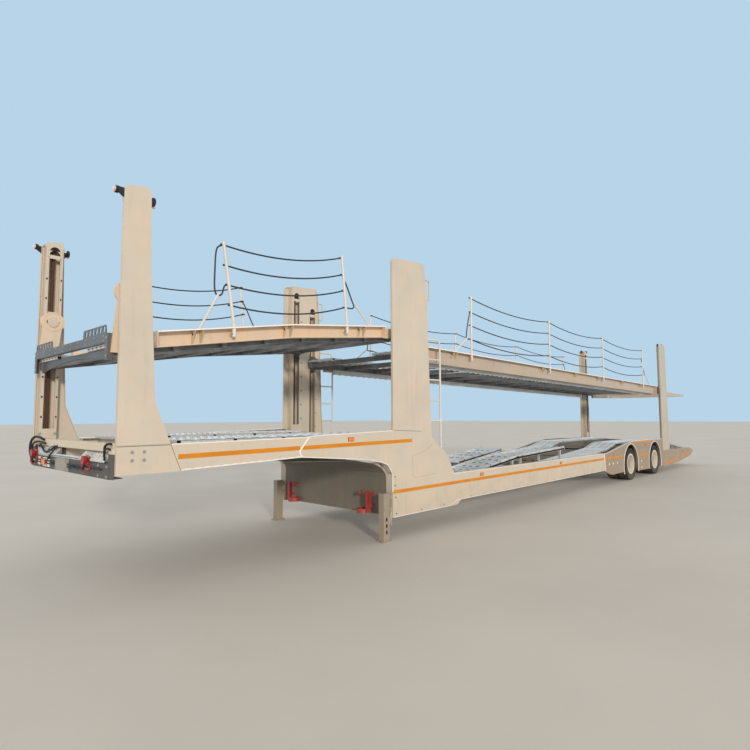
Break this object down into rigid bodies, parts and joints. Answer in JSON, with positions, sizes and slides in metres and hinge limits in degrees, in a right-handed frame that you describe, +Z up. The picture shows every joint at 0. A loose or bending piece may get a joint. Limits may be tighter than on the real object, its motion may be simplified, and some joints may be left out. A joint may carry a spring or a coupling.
{
  "type": "double-deck car carrier semi-trailer",
  "caption": "Double-deck car carrier semi-trailer on its landing legs: six lift masts, two upper decks that rise and tilt, a low well floor and two axles on twin wheels.",
  "frame": {"origin": "on the ground, under the middle of the trailer's length and width", "axes": "+X forward to the kingpin end, +Y to the trailer's left side, +Z up"},
  "size_m": [19.5783, 2.528, 3.9847],
  "materials": {
    "frame_paint": "light warm grey paint, satin",
    "underside_paint": "dull grey paint",
    "dark_paint": "dark grey paint",
    "galvanised": "galvanised, spangled",
    "screw_steel": "greased brown steel",
    "red_paint": "red gloss paint",
    "wheel_steel": "white-grey paint",
    "tyre": "matt black",
    "rope": "black sheathed",
    "amber_lens": "amber",
    "red_lens": "red"
  },
  "bodies": {
    "trailer": {"front_posts": "frame_paint", "mid_posts": "frame_paint", "rear_posts": "frame_paint", "gooseneck_panels": "frame_paint", "side_beams": "frame_paint", "fenders": "frame_paint", "tail": "frame_paint", "ladders": "frame_paint", "landing_legs": "frame_paint", "gooseneck_frame": "frame_paint", "drop_wall": "underside_paint", "floor_beams": "underside_paint", "front_beam": "underside_paint", "kingpin": "dark_paint", "axles": "dark_paint", "springs": "dark_paint", "mudguards": "dark_paint", "lower_runways": "galvanised", "wheel_cradles": "galvanised", "lift_screws": "screw_steel", "extinguisher_brackets": "red_paint", "couplings": "red_paint", "marker_lamps": "amber_lens", "rear_lamps": "red_lens"},
    "front_deck_lift": {"front_deck_mid_carriages": "frame_paint"},
    "front_deck": {"front_deck_frame": "frame_paint", "front_deck_runways": "galvanised", "front_deck_lip": "dark_paint", "front_deck_rails": "frame_paint", "front_deck_ropes": "rope"},
    "front_deck_end": {"front_deck_end_carriages": "frame_paint"},
    "rear_deck_lift": {"rear_deck_mid_carriages": "frame_paint"},
    "rear_deck": {"rear_deck_frame": "frame_paint", "rear_deck_runways": "galvanised", "rear_deck_rails": "frame_paint", "rear_deck_ropes": "rope"},
    "rear_deck_end": {"rear_deck_end_carriages": "frame_paint"},
    "front_left_wheels": {"wheel_front_left": "wheel_steel", "tyres_front_left": "tyre"},
    "front_right_wheels": {"wheel_front_right": "wheel_steel", "tyres_front_right": "tyre"},
    "rear_left_wheels": {"wheel_rear_left": "wheel_steel", "tyres_rear_left": "tyre"},
    "rear_right_wheels": {"wheel_rear_right": "wheel_steel", "tyres_rear_right": "tyre"}
  },
  "joints": [
    {"name": "front_deck_lift", "type": "slide", "parent": "trailer", "child": "front_deck_lift", "axis": [0, 0, 1], "range_m": [-0.3, 0.45]},
    {"name": "front_deck_tilt", "type": "hinge", "parent": "front_deck_lift", "child": "front_deck", "pos_m": [5.81, 0, 2.85], "axis": [0, 1, 0], "range_deg": [-3.5, 6.5]},
    {"name": "front_deck_end_slide", "type": "slide", "parent": "front_deck_lift", "child": "front_deck_end", "axis": [0, 0, 1], "range_m": [-0.4291, 0.232]},
    {"name": "rear_deck_lift", "type": "slide", "parent": "trailer", "child": "rear_deck_lift", "axis": [0, 0, 1], "range_m": [-0.3, 0.45]},
    {"name": "rear_deck_tilt", "type": "hinge", "parent": "rear_deck_lift", "child": "rear_deck", "pos_m": [5.455, 0, 2.62], "axis": [0, 1, 0], "range_deg": [-4.5, 1.9]},
    {"name": "rear_deck_end_slide", "type": "slide", "parent": "rear_deck_lift", "child": "rear_deck_end", "axis": [0, 0, 1], "range_m": [-0.9519, 0.4031]},
    {"name": "front_left_spin", "type": "hinge", "parent": "trailer", "child": "front_left_wheels", "pos_m": [-3.52, 0.974, 0.419], "axis": [0, 1, 0], "continuous": true},
    {"name": "front_right_spin", "type": "hinge", "parent": "trailer", "child": "front_right_wheels", "pos_m": [-3.52, -0.974, 0.419], "axis": [0, 1, 0], "continuous": true},
    {"name": "rear_left_spin", "type": "hinge", "parent": "trailer", "child": "rear_left_wheels", "pos_m": [-5.55, 0.974, 0.419], "axis": [0, 1, 0], "continuous": true},
    {"name": "rear_right_spin", "type": "hinge", "parent": "trailer", "child": "rear_right_wheels", "pos_m": [-5.55, -0.974, 0.419], "axis": [0, 1, 0], "continuous": true}
  ],
  "couplings": [
    {"joint": "front_deck_end_slide", "follows": "front_deck_tilt", "m_per_rad": -3.765},
    {"joint": "rear_deck_end_slide", "follows": "rear_deck_tilt", "m_per_rad": 12.095}
  ]
}
